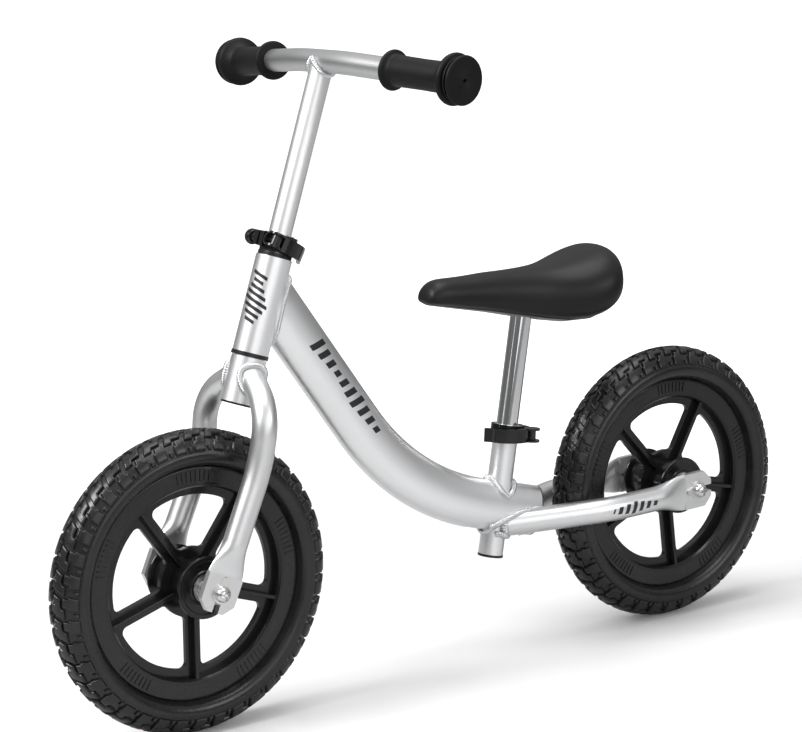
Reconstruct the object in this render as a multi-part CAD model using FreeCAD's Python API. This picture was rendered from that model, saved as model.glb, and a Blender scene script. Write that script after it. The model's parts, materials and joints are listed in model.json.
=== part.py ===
"""Balance bike: aluminium frame and fork, two foam-tyred wheels, sliding handlebar and saddle.

Frame of the part: +X forwards, +Y to the rider's left, +Z up, origin on the ground midway
between the two axles. Millimetres.
"""
import FreeCAD, Part
import math
import os
from FreeCAD import Vector, Rotation, Placement

# Wheels
WHEELBASE = 588.6
TYRE_R = 146.0
TYRE_HALF_WIDTH = 23.0
TYRE_SEAT_R = 97.0
BEAD_R = 112.4
RIM_HALF_WIDTH = 12.5
RIM_BARREL_R = 92.5
WEB_HALF_THICKNESS = 3.0
WINDOW_OUTER_R = 84.0
WINDOW_INNER_R = 34.0
SPOKES = 5
SPOKE_HALF_WIDTH = 8.0
RIB_HALF_WIDTH = 2.0
RIB_HALF_DEPTH = 10.0
HUB_R = 24.0
HUB_FLANGE_R = 30.0
HUB_HALF_LENGTH = 30.0
HUB_FLANGE_THICKNESS = 3.0
FLANGE_DISH_R = 26.0
FLANGE_DISH_DEPTH = 1.2
MOULDED_EDGE_R = 0.8
BEARING_OUTER_R = 14.0
BEARING_WIDTH = 8.0
FRONT_SPOKE_PHASE = 55.3
REAR_SPOKE_PHASE = 48.4

# Axles
AXLE_R = 6.0
RUNNING_GAP = 0.05
FACE_GAP = 0.3
BOLT_R = 3.0
BOLT_HEAD_R = 7.5
BOLT_HEAD_HEIGHT = 7.5
BOLT_LENGTH = 27.0
WASHER_R = 9.5
WASHER_THICKNESS = 2.2
TAB_LENGTH = 15.2
TAB_HOOK_SHARE = 0.9
SPACER_R = 9.0

# Dropouts
DROPOUT_Y = 52.7
DROPOUT_THICKNESS = 6.0
DROPOUT_HALF_WIDTH = 19.0
DROPOUT_END = 18.5
DROPOUT_CREASE = 17.0
CREASE_LAP = 0.6
CREASE_STEP = 0.4

# Steering column, measured along the steering axis from the head tube's lower end
STEERING_TILT = 19.3
STEERING_FOOT = Vector(217.4, 0, 354.5)
HEAD_TUBE_LENGTH = 92.6
HEAD_TUBE_R = 17.5
HEAD_TUBE_BORE_R = 15.5
BUSH_FLANGE = 4.0
LOWER_FLANGE_R = 18.1
UPPER_FLANGE_R = 16.4
BUSH_SLEEVE = 14.0
STEERER_R = 14.3
STEERER_TOP = 115.0
LOCK_RING_HEIGHT = 3.0
LOCK_RING_R = 15.9
CROWN_TUBE_R = 17.0
CROWN_TUBE_FOOT = -48.4
STEM_POST_R = 11.1
STEM_POST_FOOT = 10.0
BAR_LEVEL = 283.0

# Fork blades
BLADE_R = 12.0
TUBE_WALL = 1.8
BLADE_ROOT = Vector(224.0, 8.0, 337.0)
BLADE_SHOULDER = Vector(235.5, 55.0, 309.0)
BLADE_KNEE = Vector(243.0, 50.5, 258.0)
SHOULDER_BEND_R = 42.0
KNEE_BEND_R = 150.0
BLADE_ROUND_END = 48.0

# Main tube
OVAL_HALF_HEIGHT = 26.0
OVAL_HALF_WIDTH = 16.0
MAIN_TUBE_WALL = 2.0
MAIN_TUBE_TOP = Vector(197.8, 0, 409.5)
MAIN_TUBE_CORNER = Vector(43.5, 0, 188.3)
MAIN_TUBE_END = Vector(-114.9, 0, 144.2)
MAIN_TUBE_BEND_R = 265.0

# Chainstays
STAY_R = 12.7
STAY_ROOT = Vector(-72.0, 6.0, 138.0)
STAY_CORNER = Vector(-178.0, 49.5, 143.5)
STAY_BEND_R = 110.0
STAY_ROUND_END = 56.0

# Seat tube and saddle, measured along the seat tube from its lower end
SEAT_TILT = 10.75
SEAT_FOOT = Vector(-60.3, 0, 108.1)
SEAT_TUBE_R = 12.7
SEAT_TUBE_TOP = 134.0
SEAT_POST_R = 11.0
SEAT_POST_FOOT = 62.0
SEAT_PLATE_LEVEL = 247.0
SEAT_PLATE_R = 17.0
SEAT_PLATE_THICKNESS = 3.0

# Quick-release clamps
CLAMP_HEIGHT = 14.0
CLAMP_WALL = 3.5
CLAMP_SLOT = 3.0
CLAMP_EAR_FACE = 8.0
CLAMP_NECK_R = 4.6
CLAMP_NUT_START = 14.3
CAM_SEAT_R = 7.0
CAM_SEAT_START = 11.6
SPOT_FACE_GAP = 0.2
CLAMP_BOLT_X = 16.5
CLAMP_BOLT_R = 2.5
CLAMP_PIVOT_Y = 21.5
LEVER_HEAD_R = 8.0
LEVER_INNER_R = 22.5
LEVER_THICKNESS = 3.5
LEVER_HALF_HEIGHT = 7.0
LEVER_SLOT_HALF = 5.0
LEVER_PIN_R = 2.0
STEM_LEVER_TILT = 10.0
SEAT_LEVER_TILT = 6.0

# Handlebar
BAR_R = 11.1
BAR_BEND_Y = 36.0
BAR_END_Y = 186.0
BAR_SWEEP = 21.0
BAR_DROP = 10.0
GRIP_INNER_Y = 99.4
GRIP_END_Y = 193.0
GRIP_R = 14.5
GRIP_INNER_FLANGE_R = 19.0
GRIP_OUTER_FLANGE_R = 24.0

X_AXIS = Vector(1, 0, 0)
Y_AXIS = Vector(0, 1, 0)
Z_AXIS = Vector(0, 0, 1)


def cylinder(radius, start, end):
    """Solid cylinder between two points."""
    axis = end - start
    return Part.makeCylinder(radius, axis.Length, start, axis)


def ring(outer_r, inner_r, start, end):
    """Solid ring between two points."""
    return cylinder(outer_r, start, end).cut(cylinder(inner_r, start, end))


def box(low, high):
    """Solid block between two corners."""
    size = high - low
    return Part.makeBox(size.x, size.y, size.z, low)


def mirrored(shape):
    """The same piece on the other side of the bike."""
    return shape.mirror(Vector(0, 0, 0), Y_AXIS)


def pair(shape):
    """A piece and its mirror image as a group of separate solids."""
    return Part.makeCompound([shape, mirrored(shape)])


def placed(shape, foot, tilt):
    """Moves a piece from its own axis frame to an axis that leans back by tilt degrees."""
    moved = shape.copy()
    moved.Placement = Placement(foot, Rotation(Y_AXIS, -tilt)).multiply(moved.Placement)
    return moved


def on_steering(shape):
    return placed(shape, STEERING_FOOT, STEERING_TILT)


def on_seat_tube(shape):
    return placed(shape, SEAT_FOOT, SEAT_TILT)


def revolved(points):
    """Solid of revolution about the Y axis from (y, radius) points; a triple starts an arc."""
    edges = []
    last = None
    for item in points:
        if isinstance(item[0], tuple):
            middle, end = (Vector(r, y, 0) for y, r in item)
            edges.append(Part.Arc(last, middle, end).toShape())
            last = end
            continue
        here = Vector(item[1], item[0], 0)
        if last is not None:
            edges.append(Part.LineSegment(last, here).toShape())
        last = here
    face = Part.Face(Part.Wire(edges))
    return face.revolve(Vector(0, 0, 0), Y_AXIS, 360)


def bent_path(points, radii):
    """Straight runs joined by tangent arcs, one radius for each inner point."""
    edges = []
    last = points[0]
    for i, radius in enumerate(radii, start=1):
        back = (points[i - 1] - points[i]).normalize()
        ahead = (points[i + 1] - points[i]).normalize()
        turn = math.pi - back.getAngle(ahead)
        reach = radius * math.tan(turn / 2)
        entry = points[i] + back * reach
        leave = points[i] + ahead * reach
        inward = (back + ahead).normalize()
        middle = points[i] + inward * (radius / math.cos(turn / 2) - radius)
        edges.append(Part.LineSegment(last, entry).toShape())
        edges.append(Part.Arc(entry, middle, leave).toShape())
        last = leave
    edges.append(Part.LineSegment(last, points[-1]).toShape())
    return Part.Wire(edges)


def swept(path, profile):
    """Solid sweep of a closed profile along a path."""
    return path.makePipeShell([profile], True, False)


def round_sweep(path, start, direction, radius):
    profile = Part.Wire([Part.makeCircle(radius, start, direction)])
    return swept(path, profile)


def superellipse_wire(centre, half_width, rise, drop, power):
    """Closed smooth outline across the bike, from an ellipse (power 2) to a rounded flat (power 4)."""
    points = []
    steps = 32
    for i in range(steps):
        angle = 2 * math.pi * i / steps
        c, s = math.cos(angle), math.sin(angle)
        across = math.copysign(abs(c) ** (2 / power), c) * half_width
        up = math.copysign(abs(s) ** (2 / power), s) * (rise if s > 0 else drop)
        points.append(centre + Vector(0, across, up))
    curve = Part.BSplineCurve()
    curve.interpolate(Points=points, PeriodicFlag=True)
    return Part.Wire([curve.toShape()])


# ---------------------------------------------------------------- wheels

def tyre():
    """Foam tyre: rounded crown, full cheeks, flat bead band with a groove above it."""
    cheek = TYRE_HALF_WIDTH - 3.5
    return revolved([
        (-RIM_HALF_WIDTH, TYRE_SEAT_R),
        (-RIM_HALF_WIDTH, BEAD_R - 1.4),
        (-RIM_HALF_WIDTH + 1, BEAD_R),
        (-cheek + 1, BEAD_R + 2.5),
        ((-TYRE_HALF_WIDTH, 124.0), (-cheek, 134.5)),
        ((0, TYRE_R), (cheek, 134.5)),
        ((TYRE_HALF_WIDTH, 124.0), (cheek - 1, BEAD_R + 2.5)),
        (RIM_HALF_WIDTH - 1, BEAD_R),
        (RIM_HALF_WIDTH, BEAD_R - 1.4),
        (RIM_HALF_WIDTH, TYRE_SEAT_R),
        (-RIM_HALF_WIDTH, TYRE_SEAT_R),
    ])


def spoke_window():
    """One rounded opening between two spokes, centred on the +X direction."""
    half_angle = math.pi / SPOKES
    depth = WEB_HALF_THICKNESS + 1
    disc = ring(WINDOW_OUTER_R, WINDOW_INNER_R, Vector(0, -depth, 0), Vector(0, depth, 0))
    window = disc
    for side in (1, -1):
        cutter = box(Vector(-150, -depth, -150), Vector(150, depth, SPOKE_HALF_WIDTH))
        cutter.rotate(Vector(0, 0, 0), Y_AXIS, math.degrees(half_angle))
        if side < 0:
            cutter = cutter.mirror(Vector(0, 0, 0), Z_AXIS)
        window = window.cut(cutter)
    corners = [e for e in window.Edges if abs(e.tangentAt(e.FirstParameter).y) > 0.99]
    return window.makeFillet(6.0, corners)


def rounded_web(phase):
    """Web plate with its spoke windows and softened window edges."""
    low = Vector(0, -WEB_HALF_THICKNESS, 0)
    web = cylinder(RIM_BARREL_R + 1, low, low * -1)
    step = 360.0 / SPOKES
    for i in range(SPOKES):
        window = spoke_window()
        window.rotate(Vector(0, 0, 0), Y_AXIS, -phase + step * (i + 0.5))
        web = web.cut(window)
    rims = [e for e in web.Edges if on_window_rim(e)]
    return web.makeFillet(MOULDED_EDGE_R, rims)


def on_window_rim(edge):
    """True for an edge of a spoke window that lies in a face of the web."""
    middle = edge.valueAt((edge.FirstParameter + edge.LastParameter) / 2)
    in_face = abs(abs(middle.y) - WEB_HALF_THICKNESS) < 0.01
    return in_face and math.hypot(middle.x, middle.z) < RIM_BARREL_R - 1


def spoke_rib():
    """Central rib of one spoke, along +X, with rounded crests."""
    low = Vector(HUB_R - 2, -RIB_HALF_DEPTH, -RIB_HALF_WIDTH)
    high = Vector(RIM_BARREL_R + 1, RIB_HALF_DEPTH, RIB_HALF_WIDTH)
    rib = box(low, high)
    crests = [e for e in rib.Edges if abs(e.tangentAt(e.FirstParameter).x) > 0.99]
    return rib.makeFillet(MOULDED_EDGE_R, crests)


def wheel_body(phase):
    """Moulded rim, web, five ribbed spokes and hub in one piece."""
    half = RIM_HALF_WIDTH
    lip = RIM_BARREL_R + 1.3
    barrel = revolved([
        (-half, TYRE_SEAT_R), (half, TYRE_SEAT_R), (half, lip + 0.8),
        ((half - 0.25, lip + 0.2), (half - 0.8, lip)), (half - 2.5, RIM_BARREL_R),
        (-half + 2.5, RIM_BARREL_R), (-half + 0.8, lip),
        ((-half + 0.25, lip + 0.2), (-half, lip + 0.8)), (-half, TYRE_SEAT_R),
    ])
    body = barrel.fuse(rounded_web(phase))
    for i in range(SPOKES):
        rib = spoke_rib()
        rib.rotate(Vector(0, 0, 0), Y_AXIS, -phase + 360.0 / SPOKES * i)
        body = body.fuse(rib)
    body = body.fuse(hub_barrel())
    end = HUB_HALF_LENGTH
    body = body.cut(cylinder(AXLE_R + 2, Vector(0, -end - 1, 0), Vector(0, end + 1, 0)))
    for side in (1, -1):
        mouth = Vector(0, side * (end + 1), 0)
        floor = Vector(0, side * (end - BEARING_WIDTH), 0)
        body = body.cut(cylinder(BEARING_OUTER_R, floor, mouth))
    return body.removeSplitter()


def hub_barrel():
    """Hub with a flange at each end, rounded at its rim and dished in its face."""
    end = HUB_HALF_LENGTH
    inner = end - HUB_FLANGE_THICKNESS
    dish = end - FLANGE_DISH_DEPTH
    edge = HUB_FLANGE_R - 1
    half = [
        (inner - 2, HUB_R), (inner, edge), (inner + 0.3, HUB_FLANGE_R - 0.3),
        (inner + 1, HUB_FLANGE_R), (end - 1, HUB_FLANGE_R), (end - 0.3, HUB_FLANGE_R - 0.3),
        (end, edge), (end, FLANGE_DISH_R), (dish, FLANGE_DISH_R - 1.5),
        (dish, BEARING_OUTER_R + 3), (end, BEARING_OUTER_R + 2), (end, AXLE_R + 2),
    ]
    other = [(-y, r) for y, r in reversed(half)]
    return revolved(other + half + other[:1])


def wheel_bearings():
    end = HUB_HALF_LENGTH
    start = end - BEARING_WIDTH
    bearing = ring(BEARING_OUTER_R, AXLE_R + RUNNING_GAP, Vector(0, start, 0), Vector(0, end, 0))
    groove = ring(11.5, 8.5, Vector(0, end - 0.8, 0), Vector(0, end, 0))
    return pair(bearing.cut(groove))


def axle():
    end = DROPOUT_Y - DROPOUT_THICKNESS / 2
    return ring(AXLE_R, BOLT_R, Vector(0, -end, 0), Vector(0, end, 0))


def axle_spacers():
    """Shouldered sleeves that hold the wheel midway between the dropouts."""
    start = HUB_HALF_LENGTH + FACE_GAP
    end = DROPOUT_Y - DROPOUT_THICKNESS / 2
    profile = revolved([
        (start, AXLE_R), (start, SPACER_R), (end - 6, SPACER_R), (end - 5, SPACER_R + 2.5),
        (end, SPACER_R + 2.5), (end, AXLE_R), (start, AXLE_R),
    ])
    return pair(profile)


def tab_washers(direction):
    """Flat washers with a tab that hooks into a small hole beside the axle slot."""
    face = DROPOUT_Y + DROPOUT_THICKNESS / 2
    outer = face + WASHER_THICKNESS
    disc = ring(WASHER_R, BOLT_R, Vector(0, face, 0), Vector(0, outer, 0))
    tip = direction * TAB_LENGTH
    across = Vector(-direction.z, 0, direction.x)
    root = direction * (WASHER_R * 0.8)
    corners = [root + across * 5, tip + across * 2.4, tip - across * 2.4, root - across * 5]
    corners = [c + Vector(0, face, 0) for c in corners]
    tab = Part.Face(Part.makePolygon(corners + corners[:1])).extrude(Vector(0, WASHER_THICKNESS, 0))
    hook_place = tip * TAB_HOOK_SHARE
    hook = cylinder(1.9, hook_place + Vector(0, face - 2, 0), hook_place + Vector(0, outer, 0))
    return pair(disc.fuse(tab).fuse(hook).removeSplitter())


def axle_bolts():
    """Domed socket bolts that screw into the ends of the axle."""
    seat = DROPOUT_Y + DROPOUT_THICKNESS / 2 + WASHER_THICKNESS
    top = seat + BOLT_HEAD_HEIGHT
    head = revolved([
        (seat, 0), (seat, BOLT_HEAD_R), (seat + 2.2, BOLT_HEAD_R),
        ((top - 1.2, BOLT_HEAD_R * 0.68), (top, 0.01)), (top, 0), (seat, 0),
    ])
    shank = cylinder(BOLT_R, Vector(0, seat - BOLT_LENGTH, 0), Vector(0, seat + 1, 0))
    bolt = head.fuse(shank)
    for wide in (Vector(4.5, 0, 1.1), Vector(1.1, 0, 4.5)):
        low = Vector(-wide.x, top - 3, -wide.z)
        high = Vector(wide.x, top + 1, wide.z)
        bolt = bolt.cut(box(low, high))
    return pair(bolt)


# ---------------------------------------------------------------- flattened tube ends

def dropout(direction, axle_centre, tab_direction):
    """Flat chamfered plate with an open axle slot along the tube's own direction."""
    across = Vector(-direction.z, 0, direction.x)
    half, end = DROPOUT_HALF_WIDTH, DROPOUT_END
    foot = -DROPOUT_CREASE
    outline = [(-half, foot), (-half, 9), (-9, end), (9, end), (half, 9), (half, foot)]
    base = axle_centre - Vector(0, DROPOUT_THICKNESS / 2, 0)
    corners = [base + across * a + direction * b for a, b in outline]
    plate = Part.Face(Part.makePolygon(corners + corners[:1])).extrude(Vector(0, DROPOUT_THICKNESS, 0))
    slot = box(Vector(0, -10, -BOLT_R - 0.3), Vector(40, 10, BOLT_R + 0.3))
    angle = -math.degrees(math.atan2(direction.z, direction.x))
    slot.rotate(Vector(0, 0, 0), Y_AXIS, angle)
    slot = slot.fuse(cylinder(BOLT_R + 0.3, Vector(0, -10, 0), Vector(0, 10, 0)))
    slot.translate(axle_centre)
    hole = axle_centre + tab_direction * (TAB_LENGTH * TAB_HOOK_SHARE)
    tab_hole = cylinder(2.2, hole - Vector(0, 10, 0), hole + Vector(0, 10, 0))
    return plate.cut(slot).cut(tab_hole)


def flattened_end(start, direction, radius, axle_centre):
    """Tube end pressed flat, from its round section to the dropout's crease."""
    flat_dir = Vector(direction.x, 0, direction.z).normalize()
    across = Vector(-flat_dir.z, 0, flat_dir.x)
    crease = axle_centre - flat_dir * (DROPOUT_CREASE - CREASE_LAP)
    thin = DROPOUT_THICKNESS / 2 + CREASE_STEP
    sections = [Part.Wire([Part.makeCircle(radius, start, direction)])]
    steps = 6
    for i in range(1, steps + 1):
        share = i / steps
        blend = share * share * (3 - 2 * share)
        centre = start + (crease - start) * share
        wide = radius + (DROPOUT_HALF_WIDTH + CREASE_STEP - radius) * blend
        deep = radius + (thin - radius) * blend
        ellipse = Part.Ellipse(centre + across * wide, centre + Y_AXIS * deep, centre)
        sections.append(Part.Wire([ellipse.toShape()]))
    return Part.makeLoft(sections, True, False)


def bent_leg(points, radii, radius, round_end, axle_centre, tab_direction):
    """Round bent tube whose end is pressed flat into a dropout."""
    tail = (points[-1] - points[-2]).normalize()
    points = points[:-1] + [axle_centre - tail * round_end]
    path = bent_path(points, radii)
    first = (points[1] - points[0]).normalize()
    outer = round_sweep(path, points[0], first, radius)
    inner = round_sweep(path, points[0], first, radius - TUBE_WALL)
    tube = outer.cut(inner)
    end = flattened_end(points[-1], tail, radius, axle_centre)
    flat_dir = Vector(tail.x, 0, tail.z).normalize()
    plate = dropout(flat_dir, axle_centre, tab_direction)
    return tube.fuse(end).fuse(plate)


def axle_place(side):
    return Vector(side * WHEELBASE / 2, DROPOUT_Y, TYRE_R)


FORK_TAB = Vector(-0.38, 0, 0.925).normalize()
STAY_TAB = Vector(1, 0, -0.05).normalize()


def fork_blade():
    """Left fork blade: shoulder out of the crown tube, then down and forwards."""
    centre = axle_place(1)
    points = [BLADE_ROOT, BLADE_SHOULDER, BLADE_KNEE, centre]
    radii = [SHOULDER_BEND_R, KNEE_BEND_R]
    blade = bent_leg(points, radii, BLADE_R, BLADE_ROUND_END, centre, FORK_TAB)
    crown = on_steering(cylinder(CROWN_TUBE_R, Vector(0, 0, -80), Vector(0, 0, 20)))
    vent = centre + FORK_TAB * 39
    vent_hole = cylinder(2.5, vent - Vector(0, 20, 0), vent - Vector(0, 3, 0))
    return largest(blade.cut(crown).cut(vent_hole))


def chainstay():
    """Left chainstay: out of the main tube's flank, then straight back to the dropout."""
    centre = axle_place(-1)
    points = [STAY_ROOT, STAY_CORNER, centre]
    stay = bent_leg(points, [STAY_BEND_R], STAY_R, STAY_ROUND_END, centre, STAY_TAB)
    vents = []
    for back in (66.0, 52.0):
        place = centre + Vector(back, 0, 3)
        vents.append(cylinder(2.2, place - Vector(0, 22, 0), place - Vector(0, 6, 0)))
    stay = stay.cut(main_tube_solid(0)).cut(seat_tube_solid()).cut(main_tube_cap())
    for vent in vents:
        stay = stay.cut(vent)
    return largest(stay)


def largest(shape):
    """The main solid left after a trim."""
    return max(shape.Solids, key=lambda s: s.Volume)


# ---------------------------------------------------------------- frame tubes

def main_tube_path():
    return bent_path([MAIN_TUBE_TOP, MAIN_TUBE_CORNER, MAIN_TUBE_END], [MAIN_TUBE_BEND_R])


def oval_profile(centre, direction, inset):
    up = Y_AXIS.cross(direction).normalize()
    major = OVAL_HALF_HEIGHT - inset
    minor = OVAL_HALF_WIDTH - inset
    ellipse = Part.Ellipse(centre + up * major, centre + Y_AXIS * minor, centre)
    return Part.Wire([ellipse.toShape()])


def main_tube_solid(inset):
    start = (MAIN_TUBE_CORNER - MAIN_TUBE_TOP).normalize()
    return swept(main_tube_path(), oval_profile(MAIN_TUBE_TOP, start, inset))


def seat_tube_solid():
    return on_seat_tube(cylinder(SEAT_TUBE_R, Vector(0, 0, 0), Vector(0, 0, SEAT_TUBE_TOP)))


def main_tube():
    """Ovalised, bent, hollow main tube, with a drain slot under its low end."""
    tube = main_tube_solid(0).cut(main_tube_solid(MAIN_TUBE_WALL))
    head = on_steering(cylinder(HEAD_TUBE_R, Vector(0, 0, -60), Vector(0, 0, 160)))
    slot_centre = Vector(-38, 0, 145)
    slot = box(Vector(-8, -4, -40), Vector(8, 4, 0))
    for end in (-8, 8):
        slot = slot.fuse(cylinder(4, Vector(end, 0, -40), Vector(end, 0, 0)))
    slot.translate(slot_centre)
    tube = tube.cut(head).cut(seat_tube_solid()).cut(slot)
    return largest(tube)


def main_tube_cap():
    """Plug pressed into the main tube's open low end."""
    back = (MAIN_TUBE_END - MAIN_TUBE_CORNER).normalize()
    rim = Part.Face(oval_profile(MAIN_TUBE_END, back, 0)).extrude(back * 1.5)
    plug_start = MAIN_TUBE_END - back * 8
    plug = Part.Face(oval_profile(plug_start, back, MAIN_TUBE_WALL)).extrude(back * 8.5)
    return rim.fuse(plug).removeSplitter()


def head_tube():
    top = Vector(0, 0, HEAD_TUBE_LENGTH)
    return on_steering(ring(HEAD_TUBE_R, HEAD_TUBE_BORE_R, Vector(0, 0, 0), top))


def headset_bush(end, outward, flange_r):
    """Flanged plastic bush in one end of the head tube."""
    edge = Vector(0, 0, end)
    bore = STEERER_R + RUNNING_GAP
    flange = ring(flange_r, bore, edge, edge + Z_AXIS * (outward * BUSH_FLANGE))
    sleeve = ring(HEAD_TUBE_BORE_R, bore, edge - Z_AXIS * (outward * BUSH_SLEEVE), edge)
    return on_steering(flange.fuse(sleeve).removeSplitter())


def seat_tube():
    """Seat tube through the main tube, slotted behind at its top for the clamp."""
    tube = ring(SEAT_TUBE_R, SEAT_POST_R + RUNNING_GAP, Vector(0, 0, 0), Vector(0, 0, SEAT_TUBE_TOP))
    slot_foot = Vector(-20, -CLAMP_SLOT / 2, SEAT_TUBE_TOP - 26)
    slot = box(slot_foot, Vector(0, CLAMP_SLOT / 2, SEAT_TUBE_TOP + 1))
    return on_seat_tube(tube.cut(slot))


def seat_tube_plug():
    """Plastic plug that closes the seat tube's lower end."""
    cap = cylinder(SEAT_TUBE_R + 0.4, Vector(0, 0, -2.5), Vector(0, 0, 0))
    stem = cylinder(SEAT_POST_R, Vector(0, 0, -1), Vector(0, 0, 6))
    return on_seat_tube(cap.fuse(stem).removeSplitter())


# ---------------------------------------------------------------- fork and stem

def steerer_tube():
    """Hollow steerer, slotted in front at its top for the clamp."""
    tube = ring(STEERER_R, STEM_POST_R + RUNNING_GAP, Vector(0, 0, -44), Vector(0, 0, STEERER_TOP))
    slot = box(Vector(0, -CLAMP_SLOT / 2, STEERER_TOP - 14), Vector(20, CLAMP_SLOT / 2, STEERER_TOP + 1))
    return on_steering(tube.cut(slot))


def fork_crown_tube():
    top = -BUSH_FLANGE - FACE_GAP
    return on_steering(ring(CROWN_TUBE_R, STEERER_R, Vector(0, 0, CROWN_TUBE_FOOT), Vector(0, 0, top)))


def fork_crown_plug():
    cap = cylinder(CROWN_TUBE_R - 0.6, Vector(0, 0, CROWN_TUBE_FOOT - 2), Vector(0, 0, CROWN_TUBE_FOOT))
    stem = cylinder(STEERER_R, Vector(0, 0, CROWN_TUBE_FOOT - 1), Vector(0, 0, -44))
    return on_steering(cap.fuse(stem).removeSplitter())


def clamp_base():
    """Height of the stem clamp's lower face above the lock ring."""
    return HEAD_TUBE_LENGTH + BUSH_FLANGE + FACE_GAP + LOCK_RING_HEIGHT


def headset_lock_ring():
    low = clamp_base() - LOCK_RING_HEIGHT
    return on_steering(ring(LOCK_RING_R, STEERER_R, Vector(0, 0, low), Vector(0, 0, clamp_base())))


def stem_post():
    """Handlebar post, coped to the crossbar at its top."""
    foot = Vector(0, 0, STEM_POST_FOOT)
    post = ring(STEM_POST_R, STEM_POST_R - TUBE_WALL, foot, Vector(0, 0, BAR_LEVEL))
    bar = cylinder(BAR_R, Vector(0, -30, BAR_LEVEL), Vector(0, 30, BAR_LEVEL))
    return on_steering(largest(post.cut(bar)))


def bar_line():
    """Bar centre, bend point and end, in the bike's frame."""
    lift = BAR_LEVEL
    tilt = math.radians(STEERING_TILT)
    centre = STEERING_FOOT + Vector(-math.sin(tilt), 0, math.cos(tilt)) * lift
    bend = centre + Vector(0, BAR_BEND_Y, 0)
    end = centre + Vector(-BAR_SWEEP, BAR_END_Y, -BAR_DROP)
    return centre, bend, end


def crossbar():
    """Gently swept bar, the same on both sides."""
    _, bend, end = bar_line()
    other_bend = Vector(bend.x, -bend.y, bend.z)
    other_end = Vector(end.x, -end.y, end.z)
    path = bent_path([other_end, other_bend, bend, end], [240.0, 240.0])
    first = (other_bend - other_end).normalize()
    outer = round_sweep(path, other_end, first, BAR_R)
    inner = round_sweep(path, other_end, first, BAR_R - TUBE_WALL)
    return outer.cut(inner)


def grip():
    """Left rubber grip: thumb flange, body, double safety flange and end cap."""
    _, bend, end = bar_line()
    direction = (end - bend).normalize()
    per_y = 1 / direction.y
    start = bend + direction * ((GRIP_INNER_Y - bend.y) * per_y)
    length = (GRIP_END_Y - GRIP_INNER_Y) * per_y
    wide, body = GRIP_OUTER_FLANGE_R, GRIP_R
    solid = revolved([
        (0, 0), (0, GRIP_INNER_FLANGE_R - 1), (1.2, GRIP_INNER_FLANGE_R), (4.5, GRIP_INNER_FLANGE_R),
        (6.5, body + 1), (10, body), (length - 22, body), (length - 17, wide - 2),
        (length - 14.5, wide), (length - 10.5, wide), (length - 9.5, wide - 3),
        (length - 8.5, wide - 3), (length - 7.5, wide - 0.4), (length - 5.8, wide - 0.4),
        (length - 5, wide - 3.4), (length - 4, wide - 3.4), (length - 3, wide - 1.4),
        (length - 0.8, wide - 1.4), (length, wide - 2.6), (length, 1.3),
        (length - 6, 1.3), (length - 6, 0), (0, 0),
    ])
    bore_length = (end - start).Length
    solid = solid.cut(cylinder(BAR_R, Vector(0, -1, 0), Vector(0, bore_length, 0)))
    turn = Rotation(Y_AXIS, direction)
    solid.Placement = Placement(start, turn).multiply(solid.Placement)
    return solid


# ---------------------------------------------------------------- quick-release clamps

def clamp_collar(tube_r, facing):
    """Split collar with two ears; facing is +1 for ears in front, -1 for ears behind."""
    half = CLAMP_HEIGHT / 2
    collar = cylinder(tube_r + CLAMP_WALL, Vector(0, 0, -half), Vector(0, 0, half))
    reach = CLAMP_BOLT_X + LEVER_HEAD_R - 2
    ears = box(Vector(0, -CLAMP_EAR_FACE, -half), Vector(reach, CLAMP_EAR_FACE, half))
    collar = collar.fuse(ears)
    collar = collar.cut(cylinder(tube_r, Vector(0, 0, -half), Vector(0, 0, half)))
    collar = collar.cut(box(Vector(0, -CLAMP_SLOT / 2, -half), Vector(40, CLAMP_SLOT / 2, half)))
    x = clamp_bolt_x(tube_r)
    far = 30.0
    collar = collar.cut(cylinder(CLAMP_BOLT_R + 0.3, Vector(x, -far, 0), Vector(x, far, 0)))
    spot_faces = [
        (CLAMP_EAR_FACE, CLAMP_NECK_R), (-CLAMP_EAR_FACE, CLAMP_NECK_R),
        (CAM_SEAT_START - SPOT_FACE_GAP, CAM_SEAT_R),
    ]
    for start, radius in spot_faces:
        end = math.copysign(far, start)
        collar = collar.cut(cylinder(radius + SPOT_FACE_GAP, Vector(x, start, 0), Vector(x, end, 0)))
    return flipped(collar.removeSplitter(), facing)


def clamp_bolt_x(tube_r):
    """Bolt's distance in front of the clamped tube's axis."""
    return max(CLAMP_BOLT_X, tube_r + CLAMP_BOLT_R + 0.6)


def flipped(shape, facing):
    if facing < 0:
        return shape.mirror(Vector(0, 0, 0), X_AXIS)
    return shape


def clamp_bolt(tube_r, facing, tilt):
    """Clamp bolt with a cross barrel and pivot pins for the lever."""
    x = clamp_bolt_x(tube_r)
    shank = cylinder(CLAMP_BOLT_R, Vector(x, -20, 0), Vector(x, CLAMP_PIVOT_Y, 0))
    pivot = Vector(x, CLAMP_PIVOT_Y, 0)
    barrel_reach = Z_AXIS * (LEVER_SLOT_HALF - 0.4)
    barrel = cylinder(4.0, pivot - barrel_reach, pivot + barrel_reach)
    pins = cylinder(LEVER_PIN_R, pivot - Z_AXIS * LEVER_HALF_HEIGHT, pivot + Z_AXIS * LEVER_HALF_HEIGHT)
    barrel = barrel.fuse(pins)
    barrel.rotate(pivot, Y_AXIS, -tilt)
    return flipped(shank.fuse(barrel), facing)


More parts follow.
